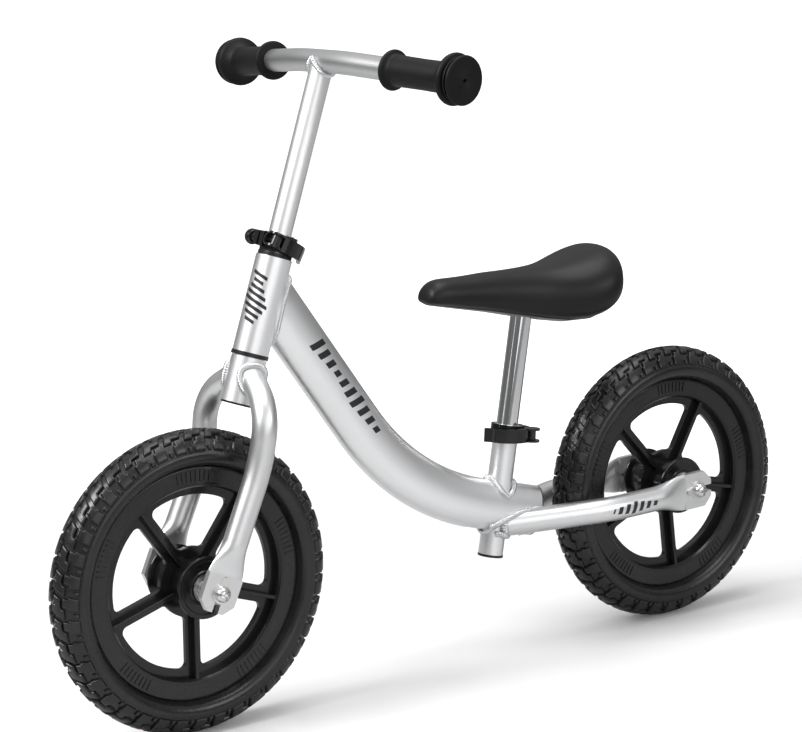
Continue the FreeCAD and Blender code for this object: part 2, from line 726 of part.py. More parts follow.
def clamp_nut(tube_r, facing):
    """Round nut on the bolt's other end."""
    x = clamp_bolt_x(tube_r)
    ear = -CLAMP_EAR_FACE
    start = -CLAMP_NUT_START
    nut = revolved([
        (ear, CLAMP_BOLT_R), (ear, CLAMP_NECK_R), (start, CLAMP_NECK_R), (start, 6.2), (start - 0.4, 6.6),
        (ear - 9, 6.6), (ear - 9.6, 7.6), (ear - 11.4, 7.6), ((ear - 15.2, 5.4), (ear - 16.4, 0.01)),
        (ear - 16.4, 0), (-20, 0), (-20, CLAMP_BOLT_R), (ear, CLAMP_BOLT_R),
    ])
    nut.translate(Vector(x, 0, 0))
    return flipped(nut, facing)


def clamp_cam_seat(tube_r, facing):
    """Flanged washer that the lever's cam bears on."""
    end = CLAMP_PIVOT_Y - LEVER_HEAD_R - FACE_GAP
    seat = revolved([
        (CLAMP_EAR_FACE, CLAMP_BOLT_R), (CLAMP_EAR_FACE, CLAMP_NECK_R), (CAM_SEAT_START, CLAMP_NECK_R),
        (CAM_SEAT_START, CAM_SEAT_R), (end, CAM_SEAT_R), (end, CLAMP_BOLT_R),
        (CLAMP_EAR_FACE, CLAMP_BOLT_R),
    ])
    seat.translate(Vector(clamp_bolt_x(tube_r), 0, 0))
    return flipped(seat, facing)


def clamp_lever(tube_r, facing, tilt):
    """Forked lever head and a strap that curls round the collar to a lifted tip."""
    x = clamp_bolt_x(tube_r)
    pivot = Vector(x, CLAMP_PIVOT_Y, 0)
    up = Z_AXIS * LEVER_HALF_HEIGHT
    head = cylinder(LEVER_HEAD_R, pivot - up, pivot + up)
    outer_r = LEVER_INNER_R + LEVER_THICKNESS
    strap = ring(outer_r, LEVER_INNER_R, up * -1, up)
    start_angle = math.atan2(CLAMP_PIVOT_Y, x)
    reach = 60.0
    keep = [Vector(0, 0, -LEVER_HALF_HEIGHT)]
    sweep_end = math.radians(160)
    for i in range(7):
        angle = start_angle + (sweep_end - start_angle) * i / 6
        keep.append(Vector(reach * math.cos(angle), reach * math.sin(angle), -LEVER_HALF_HEIGHT))
    sector = Part.Face(Part.makePolygon(keep + keep[:1])).extrude(up * 2)
    strap = strap.common(sector)
    tip_dir = Vector(math.cos(sweep_end), math.sin(sweep_end), 0)
    tangent = Vector(-tip_dir.y, tip_dir.x, 0)
    tip_root = tip_dir * LEVER_INNER_R
    corners = [
        tip_root, tip_root + tip_dir * LEVER_THICKNESS,
        tip_root + tip_dir * (LEVER_THICKNESS + 3) + tangent * 8,
        tip_root + tip_dir * 3.4 + tangent * 8,
    ]
    corners = [c - up for c in corners]
    tip = Part.Face(Part.makePolygon(corners + corners[:1])).extrude(up * 2)
    lever = head.fuse(strap).fuse(tip)
    gap = cylinder(LEVER_HEAD_R + 0.4, pivot - Z_AXIS * LEVER_SLOT_HALF, pivot + Z_AXIS * LEVER_SLOT_HALF)
    pin = cylinder(LEVER_PIN_R + RUNNING_GAP, pivot - up * 2, pivot + up * 2)
    lever = largest(lever.cut(gap).cut(pin).removeSplitter())
    lever.rotate(pivot, Y_AXIS, -tilt)
    return flipped(lever, facing)


def stem_clamp(shape):
    """Places a clamp piece at the top of the steerer, ears in front."""
    shape.translate(Vector(0, 0, clamp_base() + CLAMP_HEIGHT / 2))
    return on_steering(shape)


def seat_clamp(shape):
    """Places a clamp piece at the top of the seat tube, ears behind."""
    shape.translate(Vector(0, 0, SEAT_TUBE_TOP - CLAMP_HEIGHT / 2))
    return on_seat_tube(shape)


# ---------------------------------------------------------------- saddle

# Saddle outline along its length: x, underside, widest line, top, half width
SADDLE_STATIONS = [
    (15.0, 377.0, 379.0, 382.0, 7.0),
    (10.0, 374.5, 380.5, 389.0, 14.0),
    (-12.0, 369.5, 380.0, 397.5, 20.0),
    (-56.0, 360.0, 375.0, 398.8, 24.0),
    (-92.0, 351.0, 370.0, 398.5, 29.0),
    (-120.0, 344.5, 367.0, 399.0, 36.0),
    (-146.0, 339.5, 366.0, 401.5, 48.0),
    (-170.0, 339.0, 369.0, 407.0, 57.0),
    (-190.0, 344.0, 374.0, 412.0, 57.0),
    (-203.0, 354.0, 380.0, 412.8, 47.0),
    (-212.0, 364.0, 386.0, 406.5, 32.0),
    (-217.0, 373.0, 388.0, 397.5, 15.0),
]
SADDLE_POWER = 2.2
BASE_SHARE = 0.62
BASE_RISE = 7.0
BASE_PROUD = 0.6
BASE_POWER = 4.0
POCKET_DEPTH = 30.0


def saddle_section(x, low, widest, high, half):
    middle = Vector(x, 0, widest)
    return superellipse_wire(middle, half, high - widest, widest - low, SADDLE_POWER)


def saddle_solid():
    sections = [saddle_section(*station) for station in SADDLE_STATIONS]
    return Part.makeLoft(sections, True, True)


def plate_pocket():
    """Round pocket in the saddle's underside that the post's plate goes into."""
    top = SEAT_PLATE_LEVEL + SEAT_PLATE_THICKNESS
    return on_seat_tube(cylinder(SEAT_PLATE_R + 1, Vector(0, 0, top - POCKET_DEPTH), Vector(0, 0, top)))


def saddle_base():
    """Stiff base under the pad, following its underside, with a boss above the post's plate."""
    sections = []
    for x, low, _, _, half in SADDLE_STATIONS[1:-1]:
        centre = Vector(x, 0, low)
        half *= BASE_SHARE
        sections.append(superellipse_wire(centre, half, BASE_RISE, BASE_RISE, BASE_POWER))
    lowered = saddle_solid()
    lowered.translate(Vector(0, 0, -BASE_PROUD))
    shell = largest(Part.makeLoft(sections, True, True).common(lowered))
    top = SEAT_PLATE_LEVEL + SEAT_PLATE_THICKNESS
    boss = on_seat_tube(cylinder(SEAT_PLATE_R + 1, Vector(0, 0, top), Vector(0, 0, top + 12)))
    return shell.fuse(boss).cut(plate_pocket())


def saddle_screw_places():
    return [Vector(14 * math.cos(a), 14 * math.sin(a), 0) for a in (0.0, 2 * math.pi / 3, 4 * math.pi / 3)]


def saddle_screws():
    """Pan-head screws through the plate into the base."""
    solids = []
    for place in saddle_screw_places():
        low = place + Z_AXIS * (SEAT_PLATE_LEVEL - 1.6)
        head = cylinder(2.8, low, low + Z_AXIS * 1.6)
        shank = cylinder(1.6, low, low + Z_AXIS * 12)
        solids.append(on_seat_tube(head.fuse(shank).removeSplitter()))
    return Part.makeCompound(solids)


def seat_post():
    return on_seat_tube(ring(SEAT_POST_R, SEAT_POST_R - TUBE_WALL, Vector(0, 0, SEAT_POST_FOOT),
                             Vector(0, 0, SEAT_PLATE_LEVEL)))


def saddle_plate():
    """Round steel plate welded to the top of the post."""
    top = SEAT_PLATE_LEVEL + SEAT_PLATE_THICKNESS
    plate = cylinder(SEAT_PLATE_R, Vector(0, 0, SEAT_PLATE_LEVEL), Vector(0, 0, top))
    return on_seat_tube(plate).cut(saddle_screws())


# ---------------------------------------------------------------- assembly

def wheel_nodes(name, side, phase, tab):
    """The nodes of one wheel and its axle."""
    centre = Vector(side * WHEELBASE / 2, 0, TYRE_R)
    shapes = {
        name + "_tyre": tyre(),
        name + "_wheel": wheel_body(phase),
        name + "_wheel_bearings": wheel_bearings(),
        name + "_axle": axle(),
        name + "_axle_spacers": axle_spacers(),
        name + "_axle_washers": tab_washers(tab),
        name + "_axle_bolts": axle_bolts(),
    }
    for shape in shapes.values():
        shape.translate(centre)
    return shapes


def clamp_nodes(name, place, tube_r, facing, tilt):
    """The nodes of one quick-release clamp."""
    return {
        name + "_clamp_collar": place(clamp_collar(tube_r, facing)),
        name + "_clamp_bolt": place(clamp_bolt(tube_r, facing, tilt)),
        name + "_clamp_nut": place(clamp_nut(tube_r, facing)),
        name + "_clamp_cam_seat": place(clamp_cam_seat(tube_r, facing)),
        name + "_clamp_lever": place(clamp_lever(tube_r, facing, tilt)),
    }


def all_nodes():
    stay = chainstay()
    blade = fork_blade()
    left_grip = grip()
    screws = saddle_screws()
    base = saddle_base().cut(screws)
    nodes = {
        "main_tube": main_tube(),
        "main_tube_end_cap": main_tube_cap(),
        "head_tube": head_tube(),
        "headset_lower_bush": headset_bush(0, -1, LOWER_FLANGE_R),
        "headset_upper_bush": headset_bush(HEAD_TUBE_LENGTH, 1, UPPER_FLANGE_R),
        "seat_tube": seat_tube(),
        "seat_tube_plug": seat_tube_plug(),
        "chainstay_left": stay,
        "chainstay_right": mirrored(stay),
        "steerer_tube": steerer_tube(),
        "fork_crown_tube": fork_crown_tube(),
        "fork_crown_plug": fork_crown_plug(),
        "fork_blade_left": blade,
        "fork_blade_right": mirrored(blade),
        "headset_lock_ring": headset_lock_ring(),
        "stem_post": stem_post(),
        "crossbar": crossbar(),
        "grip_left": left_grip,
        "grip_right": mirrored(left_grip),
        "seat_post": seat_post(),
        "saddle_plate": saddle_plate(),
        "saddle_screws": screws,
        "saddle_base": base,
        "saddle_pad": largest(saddle_solid().cut(saddle_base()).cut(plate_pocket())),
    }
    nodes.update(wheel_nodes("front", 1, FRONT_SPOKE_PHASE, FORK_TAB))
    nodes.update(wheel_nodes("rear", -1, REAR_SPOKE_PHASE, STAY_TAB))
    nodes.update(clamp_nodes("stem", stem_clamp, STEERER_R, 1, STEM_LEVER_TILT))
    nodes.update(clamp_nodes("seat", seat_clamp, SEAT_TUBE_R, -1, SEAT_LEVER_TILT))
    return nodes


def main():
    os.makedirs("parts", exist_ok=True)
    for name, shape in all_nodes().items():
        shape.exportStep(os.path.join("parts", name + ".step"))
        print(name, len(shape.Solids), round(shape.Volume), shape.isValid())


main()
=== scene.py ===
"""Looks of the balance bike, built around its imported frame. Metres."""
import bmesh
import bpy
import json
import math
from mathutils import Matrix, Vector
from mathutils.bvhtree import BVHTree


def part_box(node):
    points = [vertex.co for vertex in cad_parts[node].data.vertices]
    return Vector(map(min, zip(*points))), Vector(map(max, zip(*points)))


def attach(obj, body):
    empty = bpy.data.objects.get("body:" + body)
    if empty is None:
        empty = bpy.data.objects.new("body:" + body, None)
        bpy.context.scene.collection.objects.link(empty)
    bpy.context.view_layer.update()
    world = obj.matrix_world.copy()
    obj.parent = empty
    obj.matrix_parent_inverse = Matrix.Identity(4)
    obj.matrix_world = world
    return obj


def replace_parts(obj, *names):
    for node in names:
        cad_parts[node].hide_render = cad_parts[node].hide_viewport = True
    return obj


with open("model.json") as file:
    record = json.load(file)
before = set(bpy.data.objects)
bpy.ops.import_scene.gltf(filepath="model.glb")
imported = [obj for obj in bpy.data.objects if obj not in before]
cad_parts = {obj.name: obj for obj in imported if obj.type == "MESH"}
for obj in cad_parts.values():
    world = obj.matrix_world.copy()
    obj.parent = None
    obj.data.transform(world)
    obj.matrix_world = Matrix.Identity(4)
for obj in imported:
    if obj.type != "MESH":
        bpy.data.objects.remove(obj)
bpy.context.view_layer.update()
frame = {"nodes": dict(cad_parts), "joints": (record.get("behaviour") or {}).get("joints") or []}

# ---------------------------------------------------------------- places taken from the frame

JOINTS = {joint["name"]: joint for joint in frame["joints"]}
STEERING_FOOT = Vector(JOINTS["steering"]["pos_m"])
STEERING_AXIS = Vector(JOINTS["steering"]["axis"])
SEAT_AXIS = Vector(JOINTS["saddle_height"]["axis"])


def box_centre(node):
    low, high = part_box(node)
    return (low + high) / 2


# ---------------------------------------------------------------- tyre sizes

TYRE_R = 0.146
CROWN_R = 0.02228
CROWN_CENTRE = TYRE_R - CROWN_R
TREAD_DEPTH = 0.0030
PITCHES = 40
STEPS_PER_PITCH = 10
STEPS = PITCHES * STEPS_PER_PITCH
# Edges of the tread columns on one half, measured round the crown from its middle
COLUMNS = [0.0008, 0.0026, 0.0046, 0.0070, 0.0093, 0.0114, 0.0134, 0.0156, 0.0186, 0.0214, 0.0242,
           0.0272, 0.0298]
SHOULDER_PLACE = 0.022
# Middles of the groups of bead ribs, in degrees round the tyre
RIB_GROUPS = (92.0, 24.0, -48.0, -122.0, 164.0)
RIBS_IN_GROUP = 8
RIB_SPACING = 3

# ---------------------------------------------------------------- mesh helpers


def place_mesh(bm, name, material):
    """Object made from a bmesh, linked to the scene."""
    mesh = bpy.data.meshes.new(name)
    bm.to_mesh(mesh)
    bm.free()
    mesh.materials.append(material)
    placed = bpy.data.objects.new(name, mesh)
    bpy.context.scene.collection.objects.link(placed)
    return placed


def make_piece(bm, name, body, material, crease=50.0):
    """Turns a bmesh into a piece that rides on a body, smooth apart from its sharp edges."""
    bmesh.ops.remove_doubles(bm, verts=bm.verts, dist=1e-6)
    bmesh.ops.recalc_face_normals(bm, faces=bm.faces)
    limit = math.radians(crease)
    for face in bm.faces:
        face.smooth = True
    for edge in bm.edges:
        if len(edge.link_faces) == 2:
            edge.smooth = edge.calc_face_angle() < limit
    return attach(place_mesh(bm, name, material), body)


def draw_outline(bm, points, closed=True):
    """Vertices and edges of an outline of (radius, along) points, ready to spin about Y."""
    verts = [bm.verts.new((radius, along, 0)) for radius, along in points]
    ends = verts[1:] + verts[:1] if closed else verts[1:]
    edges = [bm.edges.new(ends_pair) for ends_pair in zip(verts, ends)]
    return verts + edges


def turned(points, steps, closed=True):
    """Solid of revolution about Y."""
    bm = bmesh.new()
    outline = draw_outline(bm, points, closed)
    bmesh.ops.spin(bm, geom=outline, cent=(0, 0, 0), axis=(0, 1, 0), angle=math.tau, steps=steps,
                   use_merge=True)
    bmesh.ops.remove_doubles(bm, verts=bm.verts, dist=1e-6)
    bmesh.ops.recalc_face_normals(bm, faces=bm.faces)
    return bm


def arc_through(start, middle, end, count):
    """Points on the circle through three points, without the first."""
    (ax, ay), (bx, by), (cx, cy) = start, middle, end
    d = 2 * (ax * (by - cy) + bx * (cy - ay) + cx * (ay - by))
    a, b, c = ax * ax + ay * ay, bx * bx + by * by, cx * cx + cy * cy
    ux = (a * (by - cy) + b * (cy - ay) + c * (ay - by)) / d
    uy = (a * (cx - bx) + b * (ax - cx) + c * (bx - ax)) / d
    radius = math.hypot(ax - ux, ay - uy)
    first, last = math.atan2(ay - uy, ax - ux), math.atan2(cy - uy, cx - ux)
    turn = (last - first + math.pi) % math.tau - math.pi
    angles = [first + turn * i / count for i in range(1, count + 1)]
    return [(ux + radius * math.cos(t), uy + radius * math.sin(t)) for t in angles]


# ---------------------------------------------------------------- node helpers


def add(tree, kind, values=None, **settings):
    """Adds a node; values maps socket names or numbers to a value or to an output to link."""
    made = tree.nodes.new(kind)
    for key, setting in settings.items():
        setattr(made, key, setting)
    for key, value in (values or {}).items():
        if isinstance(value, bpy.types.NodeSocket):
            tree.links.new(value, made.inputs[key])
        else:
            made.inputs[key].default_value = value
    return made


def maths(tree, operation, *values):
    return add(tree, "ShaderNodeMath", dict(enumerate(values)), operation=operation).outputs[0]


def ramp(tree, value, low, high, to_low=0.0, to_high=1.0):
    """Value mapped from low..high to to_low..to_high, with soft ends."""
    settings = {"interpolation_type": "SMOOTHSTEP", "clamp": True}
    values = {"Value": value, "From Min": low, "From Max": high, "To Min": to_low, "To Max": to_high}
    return add(tree, "ShaderNodeMapRange", values, **settings).outputs["Result"]


def vector_maths(tree, operation, *values, output=0):
    return add(tree, "ShaderNodeVectorMath", dict(enumerate(values)), operation=operation).outputs[output]


def mixed(tree, share, first, second):
    """Colour between two colours."""
    return add(tree, "ShaderNodeMix", {0: share, 6: first, 7: second}, data_type="RGBA").outputs[2]


def turned_vector(tree, vector, angle):
    """Vector turned about Y."""
    values = {"Vector": vector, "Axis": (0, 1, 0), "Angle": angle}
    return add(tree, "ShaderNodeVectorRotate", values).outputs[0]


def make_group(name, inputs, outputs):
    """Empty node group with float sockets, except for one called Vector."""
    tree = bpy.data.node_groups.new(name, "ShaderNodeTree")
    for socket in inputs:
        kind = "NodeSocketVector" if socket == "Vector" else "NodeSocketFloat"
        tree.interface.new_socket(socket, in_out="INPUT", socket_type=kind)
    for socket in outputs:
        tree.interface.new_socket(socket, in_out="OUTPUT", socket_type="NodeSocketFloat")
    return tree, tree.nodes.new("NodeGroupInput").outputs, tree.nodes.new("NodeGroupOutput").inputs


def noise(tree, vector, scale, detail=2.0, roughness=0.5):
    values = {"Vector": vector, "Scale": scale, "Detail": detail, "Roughness": roughness}
    return add(tree, "ShaderNodeTexNoise", values).outputs["Fac"]


def make_surface_group():
    """Grain, slow tone changes, fine scuffs and dust that settles on upward faces."""
    names = ["Vector", "Grain Scale", "Tone Scale", "Scuff Scale"]
    tree, given, result = make_group("surface_life", names, ["Grain", "Tone", "Scuffs", "Dust"])
    vector = given["Vector"]
    tree.links.new(noise(tree, vector, given["Grain Scale"], 3.0, 0.6), result["Grain"])
    tree.links.new(ramp(tree, noise(tree, vector, given["Tone Scale"], 4.0), 0.3, 0.7), result["Tone"])
    stretched = vector_maths(tree, "MULTIPLY", vector, (1.0, 0.16, 1.0))
    lines = noise(tree, stretched, given["Scuff Scale"], 5.0, 0.7)
    tree.links.new(ramp(tree, lines, 0.62, 0.74), result["Scuffs"])
    normal = add(tree, "ShaderNodeNewGeometry").outputs["Normal"]
    up = add(tree, "ShaderNodeSeparateXYZ", {0: normal}).outputs["Z"]
    patches = ramp(tree, noise(tree, vector, 55.0, 6.0, 0.65), 0.4, 0.75)
    settled = maths(tree, "MULTIPLY", ramp(tree, up, 0.35, 1.0), patches)
    tree.links.new(settled, result["Dust"])
    return tree


def make_bars_group():
    """Mask of a row of slanted bars between two places along X, with bars of changing height."""
    names = ["Vector", "Start", "End", "Pitch", "Half Height", "Slant", "Share"]
    tree, given, result = make_group("slanted_bars", names, ["Mask"])
    parts = add(tree, "ShaderNodeSeparateXYZ", {0: given["Vector"]}).outputs
    leaning = maths(tree, "MULTIPLY_ADD", parts["Z"], given["Slant"], parts["X"])
    inside = maths(tree, "MULTIPLY",
                   maths(tree, "GREATER_THAN", leaning, given["Start"]),
                   maths(tree, "LESS_THAN", leaning, given["End"]))
    run = maths(tree, "DIVIDE", maths(tree, "SUBTRACT", leaning, given["Start"]), given["Pitch"])
    bar = maths(tree, "LESS_THAN", maths(tree, "FRACT", run), given["Share"])
    count = maths(tree, "FLOOR", run)
    swing = maths(tree, "MULTIPLY_ADD", maths(tree, "PINGPONG", count, 3.0), 0.2, 0.4)
    height = maths(tree, "MULTIPLY", given["Half Height"], swing)
    level = maths(tree, "LESS_THAN", maths(tree, "ABSOLUTE", parts["Z"]), height)
    tree.links.new(maths(tree, "MULTIPLY", inside, maths(tree, "MULTIPLY", bar, level)), result["Mask"])
    return tree


SURFACE = make_surface_group()
BARS = make_bars_group()


PRINT_INK = (0.012, 0.012, 0.014, 1)


def make_finish(name, colour, worn, roughness, grain, scales, metallic=0.0, tone=0.3, scuffs=0.3,
                dust=0.0, mark=None, relief=None, **shader):
    """Principled material whose colour, gloss and relief vary over the surface.

    roughness is its low and high value, grain the relief's depth, and scales are those of grain,
    tone and scuffs. mark and relief add a printed mask and a second height."""
    material = bpy.data.materials.new(name)
    material.use_nodes = True
    tree = material.node_tree
    principled = tree.nodes["Principled BSDF"]
    vector = add(tree, "ShaderNodeTexCoord").outputs["Object"]
    life = add(tree, "ShaderNodeGroup", node_tree=SURFACE)
    tree.links.new(vector, life.inputs["Vector"])
    for key, value in zip(("Grain Scale", "Tone Scale", "Scuff Scale"), scales):
        life.inputs[key].default_value = value
    life = life.outputs
    share = maths(tree, "MULTIPLY", life["Tone"], tone)
    share = maths(tree, "MAXIMUM", share, maths(tree, "MULTIPLY", life["Scuffs"], scuffs))
    share = maths(tree, "MAXIMUM", share, maths(tree, "MULTIPLY", life["Dust"], dust))
    shade = mixed(tree, share, (*colour, 1), (*worn, 1))
    gloss = maths(tree, "MULTIPLY", life["Grain"], 0.5)
    gloss = maths(tree, "ADD", gloss, maths(tree, "MULTIPLY", share, 0.8))
    tree.links.new(ramp(tree, gloss, 0.1, 0.9, *roughness), principled.inputs["Roughness"])
    if mark:
        mask = mark(tree, vector)
        shade = mixed(tree, mask, shade, PRINT_INK)
        tree.links.new(maths(tree, "SUBTRACT", metallic, mask), principled.inputs["Metallic"])
    else:
        principled.inputs["Metallic"].default_value = metallic
    tree.links.new(shade, principled.inputs["Base Color"])
    values = {"Strength": 1.0, "Distance": grain, "Height": life["Grain"]}
    bump = add(tree, "ShaderNodeBump", values).outputs["Normal"]
    if relief:
        depth, surface = relief(tree, vector)
        values = {"Strength": 1.0, "Distance": depth, "Height": surface, "Normal": bump}
        bump = add(tree, "ShaderNodeBump", values).outputs["Normal"]
    tree.links.new(bump, principled.inputs["Normal"])
    for socket, value in shader.items():
        principled.inputs[socket.replace("_", " ")].default_value = value
    return material


# ---------------------------------------------------------------- printed marks and reliefs


BAR_SLANT = 0.35
BAR_SHARE = 0.55


def place_bars(tree, vector, sizes):
    """Row of bars along X of the given vector; sizes are start, end, pitch and half height."""
    bars = add(tree, "ShaderNodeGroup", node_tree=BARS)
    tree.links.new(vector, bars.inputs["Vector"])
    keys = ("Start", "End", "Pitch", "Half Height", "Slant", "Share")
    for key, value in zip(keys, (*sizes, BAR_SLANT, BAR_SHARE)):
        bars.inputs[key].default_value = value
    return bars.outputs["Mask"]


def tube_bars(place, tilt, sizes):
    """Printed bars along a tube that passes through place and rises by tilt towards +X."""
    def mark(tree, vector):
        moved = vector_maths(tree, "SUBTRACT", vector, place)
        return place_bars(tree, turned_vector(tree, moved, tilt), sizes)
    return mark


HEAD_TUBE_R = 0.0175
HEAD_MARK_TURN = 0.45
HEAD_BARS = (0.028, 0.077, 0.0062, 0.014)


def head_bars(tree, vector):
    """Printed column of bars wrapped round the front of the head tube."""
    local = vector_maths(tree, "SUBTRACT", vector, tuple(STEERING_FOOT))
    upright = turned_vector(tree, local, math.atan2(-STEERING_AXIS.x, STEERING_AXIS.z))
    parts = add(tree, "ShaderNodeSeparateXYZ", {0: upright}).outputs
    turn = maths(tree, "SUBTRACT", maths(tree, "ARCTAN2", parts["Y"], parts["X"]), HEAD_MARK_TURN)
    around = maths(tree, "MULTIPLY", turn, HEAD_TUBE_R)
    unrolled = add(tree, "ShaderNodeCombineXYZ", {"X": parts["Z"], "Z": around}).outputs[0]
    return place_bars(tree, unrolled, HEAD_BARS)


def pebbles(tree, vector):
    """Pressed leathercloth grain."""
    cells = add(tree, "ShaderNodeTexVoronoi", {"Vector": vector, "Scale": 900.0}, feature="SMOOTH_F1")
    return 0.00006, cells.outputs["Distance"]


def foam_skin(tree, vector):
    """Closed-cell skin with slow moulding ripples."""
    return 0.00025, noise(tree, vector, 130.0, 3.0)


# ---------------------------------------------------------------- finishes

FINISHES = {}
SILVER_COLOURS = ((0.9, 0.905, 0.915), (0.8, 0.805, 0.81))


def finish(name, *tones, **settings):
    FINISHES[name] = make_finish(name, *tones, **settings)
    return FINISHES[name]


def silver(name, mark=None, shade=1.0):
    """Brushed and lacquered aluminium; a shade below one darkens its colour, which paints shade onto it.
    """
    colour, worn = [tuple(value * shade for value in tone) for tone in SILVER_COLOURS]
    return finish(name, colour, worn, (0.36, 0.45), 0.000012, (2600.0, 9.0, 60.0), metallic=1.0,
                  tone=0.25, scuffs=0.12, dust=0.1, mark=mark)


silver("satin_aluminium")
finish("bright_steel", (0.62, 0.62, 0.63), (0.45, 0.44, 0.43), (0.2, 0.36), 0.00001,
       (1800.0, 30.0, 120.0), metallic=1.0)
finish("zinc_steel", (0.7, 0.7, 0.69), (0.5, 0.5, 0.5), (0.2, 0.34), 0.00001,
       (1500.0, 45.0, 140.0), metallic=1.0)
finish("chrome", (0.74, 0.75, 0.76), (0.6, 0.6, 0.61), (0.05, 0.13), 0.000003,
       (900.0, 25.0, 150.0), metallic=1.0, scuffs=0.2, tone=0.15)
finish("black_steel", (0.006, 0.006, 0.0065), (0.05, 0.05, 0.05), (0.2, 0.34), 0.00002,
       (1600.0, 30.0, 110.0), tone=0.15)
finish("black_anodised", (0.004, 0.004, 0.0045), (0.03, 0.03, 0.031), (0.14, 0.26), 0.00001,
       (1900.0, 30.0, 120.0), tone=0.2, Coat_Weight=0.15, Specular_IOR_Level=0.35)
finish("black_nylon", (0.006, 0.006, 0.0065), (0.03, 0.03, 0.03), (0.26, 0.42), 0.00004,
       (1400.0, 25.0, 90.0), tone=0.2)
finish("gloss_black_plastic", (0.006, 0.006, 0.0065), (0.02, 0.02, 0.021), (0.16, 0.3), 0.000015,
       (1200.0, 14.0, 70.0), tone=0.3, scuffs=0.25, dust=0.2, Specular_IOR_Level=0.4)
finish("foam_tyre", (0.0075, 0.0075, 0.008), (0.024, 0.024, 0.025), (0.22, 0.42), 0.00005,
       (1500.0, 22.0, 60.0), tone=0.35, scuffs=0.3, dust=0.3, relief=foam_skin,
       Specular_IOR_Level=0.45)
finish("black_rubber", (0.004, 0.004, 0.0042), (0.011, 0.011, 0.011), (0.5, 0.66), 0.00006,
       (1700.0, 30.0, 90.0), tone=0.25, dust=0.1, Specular_IOR_Level=0.18)
finish("black_leathercloth", (0.005, 0.005, 0.0053), (0.014, 0.014, 0.0145), (0.38, 0.52), 0.00002,
       (2200.0, 12.0, 50.0), tone=0.3, scuffs=0.12, dust=0.1, relief=pebbles,
       Specular_IOR_Level=0.26)

MAIN_SLOPE = math.atan2(221.2, 154.3)
MAIN_BARS = tube_bars((0.120, 0, 0.3110), MAIN_SLOPE, (-0.062, 0.062, 0.0125, 0.0085))
STAY_BARS = tube_bars((-0.203, 0, 0.1440), -0.02, (-0.028, 0.028, 0.009, 0.0062))
# Silver nodes that carry a printed mark, or painted shade as a darker copy of the aluminium's colour
SPECIAL = {
    "main_tube": silver("printed_main_tube", MAIN_BARS),
    # The stays are printed and their aluminium is darkened as painted shade
    "chainstay_left": silver("printed_stay_left_painted_shade", STAY_BARS, 0.85),
    "chainstay_right": silver("printed_stay_right_painted_shade", STAY_BARS, 0.85),
    "head_tube": silver("printed_head_tube", head_bars),
    # The bar and the blades are darkened as painted shade
    "crossbar": silver("bar_aluminium_painted_shade", shade=0.62),
    "fork_blade_left": silver("blade_aluminium_left", shade=0.82),
    "fork_blade_right": silver("blade_aluminium_right", shade=0.82),
}
for node, shown in frame["nodes"].items():
    for index, old in enumerate(shown.data.materials):
        shown.data.materials[index] = SPECIAL.get(node) or FINISHES[old.name.split(".")[0]]

# ---------------------------------------------------------------- tyres


def tyre_outline():
    """Closed outline of the tyre's section, with the tread's columns at its base level."""
    half = [(0.097, 0.0125), (0.0985, 0.0125), (0.1088, 0.0125), (0.1108, 0.0125), (0.1117, 0.0121),
            (0.1122, 0.0114), (0.1128, 0.0126), (0.1139, 0.0158)]
    half += [(0.1149, 0.0185)] + arc_through((0.1149, 0.0185), (0.1215, 0.0226), (0.1275, 0.0217), 8)
    for place in reversed(COLUMNS):
        angle = place / CROWN_R
        shallow = min(1.0, max(0.0, (place - SHOULDER_PLACE) / (COLUMNS[-1] - SHOULDER_PLACE)))
        level = CROWN_R - TREAD_DEPTH * (1.0 - 0.6 * shallow)
        half.append((CROWN_CENTRE + level * math.cos(angle), level * math.sin(angle)))
    return half + [(radius, -along) for radius, along in reversed(half)]


def is_block(step, place):
    """Whether the tread is raised at this step round the tyre and place across it."""
    if place < 0:
        step += STEPS_PER_PITCH // 2
    place = abs(place)
    beat = step % STEPS_PER_PITCH
    if place < COLUMNS[1]:
        return place > COLUMNS[0] and beat < 4
    if place < COLUMNS[7]:
        inner = beat < 8 and place < COLUMNS[5] and not (beat == 4 and place < COLUMNS[2])
        outer = beat < 4 and place > COLUMNS[5]
        return inner or outer or (5 <= beat < 9 and place > COLUMNS[6])
    if place < COLUMNS[8]:
        return 5 <= beat < 9
    if place < COLUMNS[12]:
        return beat >= 4 or (beat in (1, 2) and place > COLUMNS[10])
    return False


def tread_sweep(place):
    """Distance the tread trails round the tyre at a place across it, which slants its grooves."""
    if place < COLUMNS[6]:
        return 0.5 * place
    run = min(1.0, (place - COLUMNS[6]) / (COLUMNS[12] - COLUMNS[6]))
    swept = 0.5 * COLUMNS[6] + 0.0026 * math.sin(run * math.pi / 2)
    return swept * max(0.0, 1.0 - max(0.0, place - 0.031) / 0.007)


def is_rib(step):
    """Whether a bead rib stands at this step round the tyre."""
    angle = 360.0 * (step + 0.5) / STEPS
    for middle in RIB_GROUPS:
        away = (angle - middle + 180.0) % 360.0 - 180.0
        if abs(away) < RIBS_IN_GROUP * 360.0 * RIB_SPACING / 2 / STEPS:
            return step % RIB_SPACING == 0
    return False


def crown_place(point):
    """Signed distance of a point round the crown from the tyre's middle."""
    return math.atan2(point.y, math.hypot(point.x, point.z) - CROWN_CENTRE) * CROWN_R


def sort_faces(bm):
    """Faces of the tread blocks and of the bead ribs."""
    blocks, ribs = [], []
    for face in bm.faces:
        centre = face.calc_center_median()
        radius = math.hypot(centre.x, centre.z)
        step = int((math.atan2(centre.z, centre.x) % math.tau) / math.tau * STEPS)
        if radius > 0.127 and is_block(step, crown_place(centre)):
            blocks.append(face)
        if 0.0986 < radius < 0.1087 and is_rib(step):
            ribs.append(face)
    return blocks, ribs


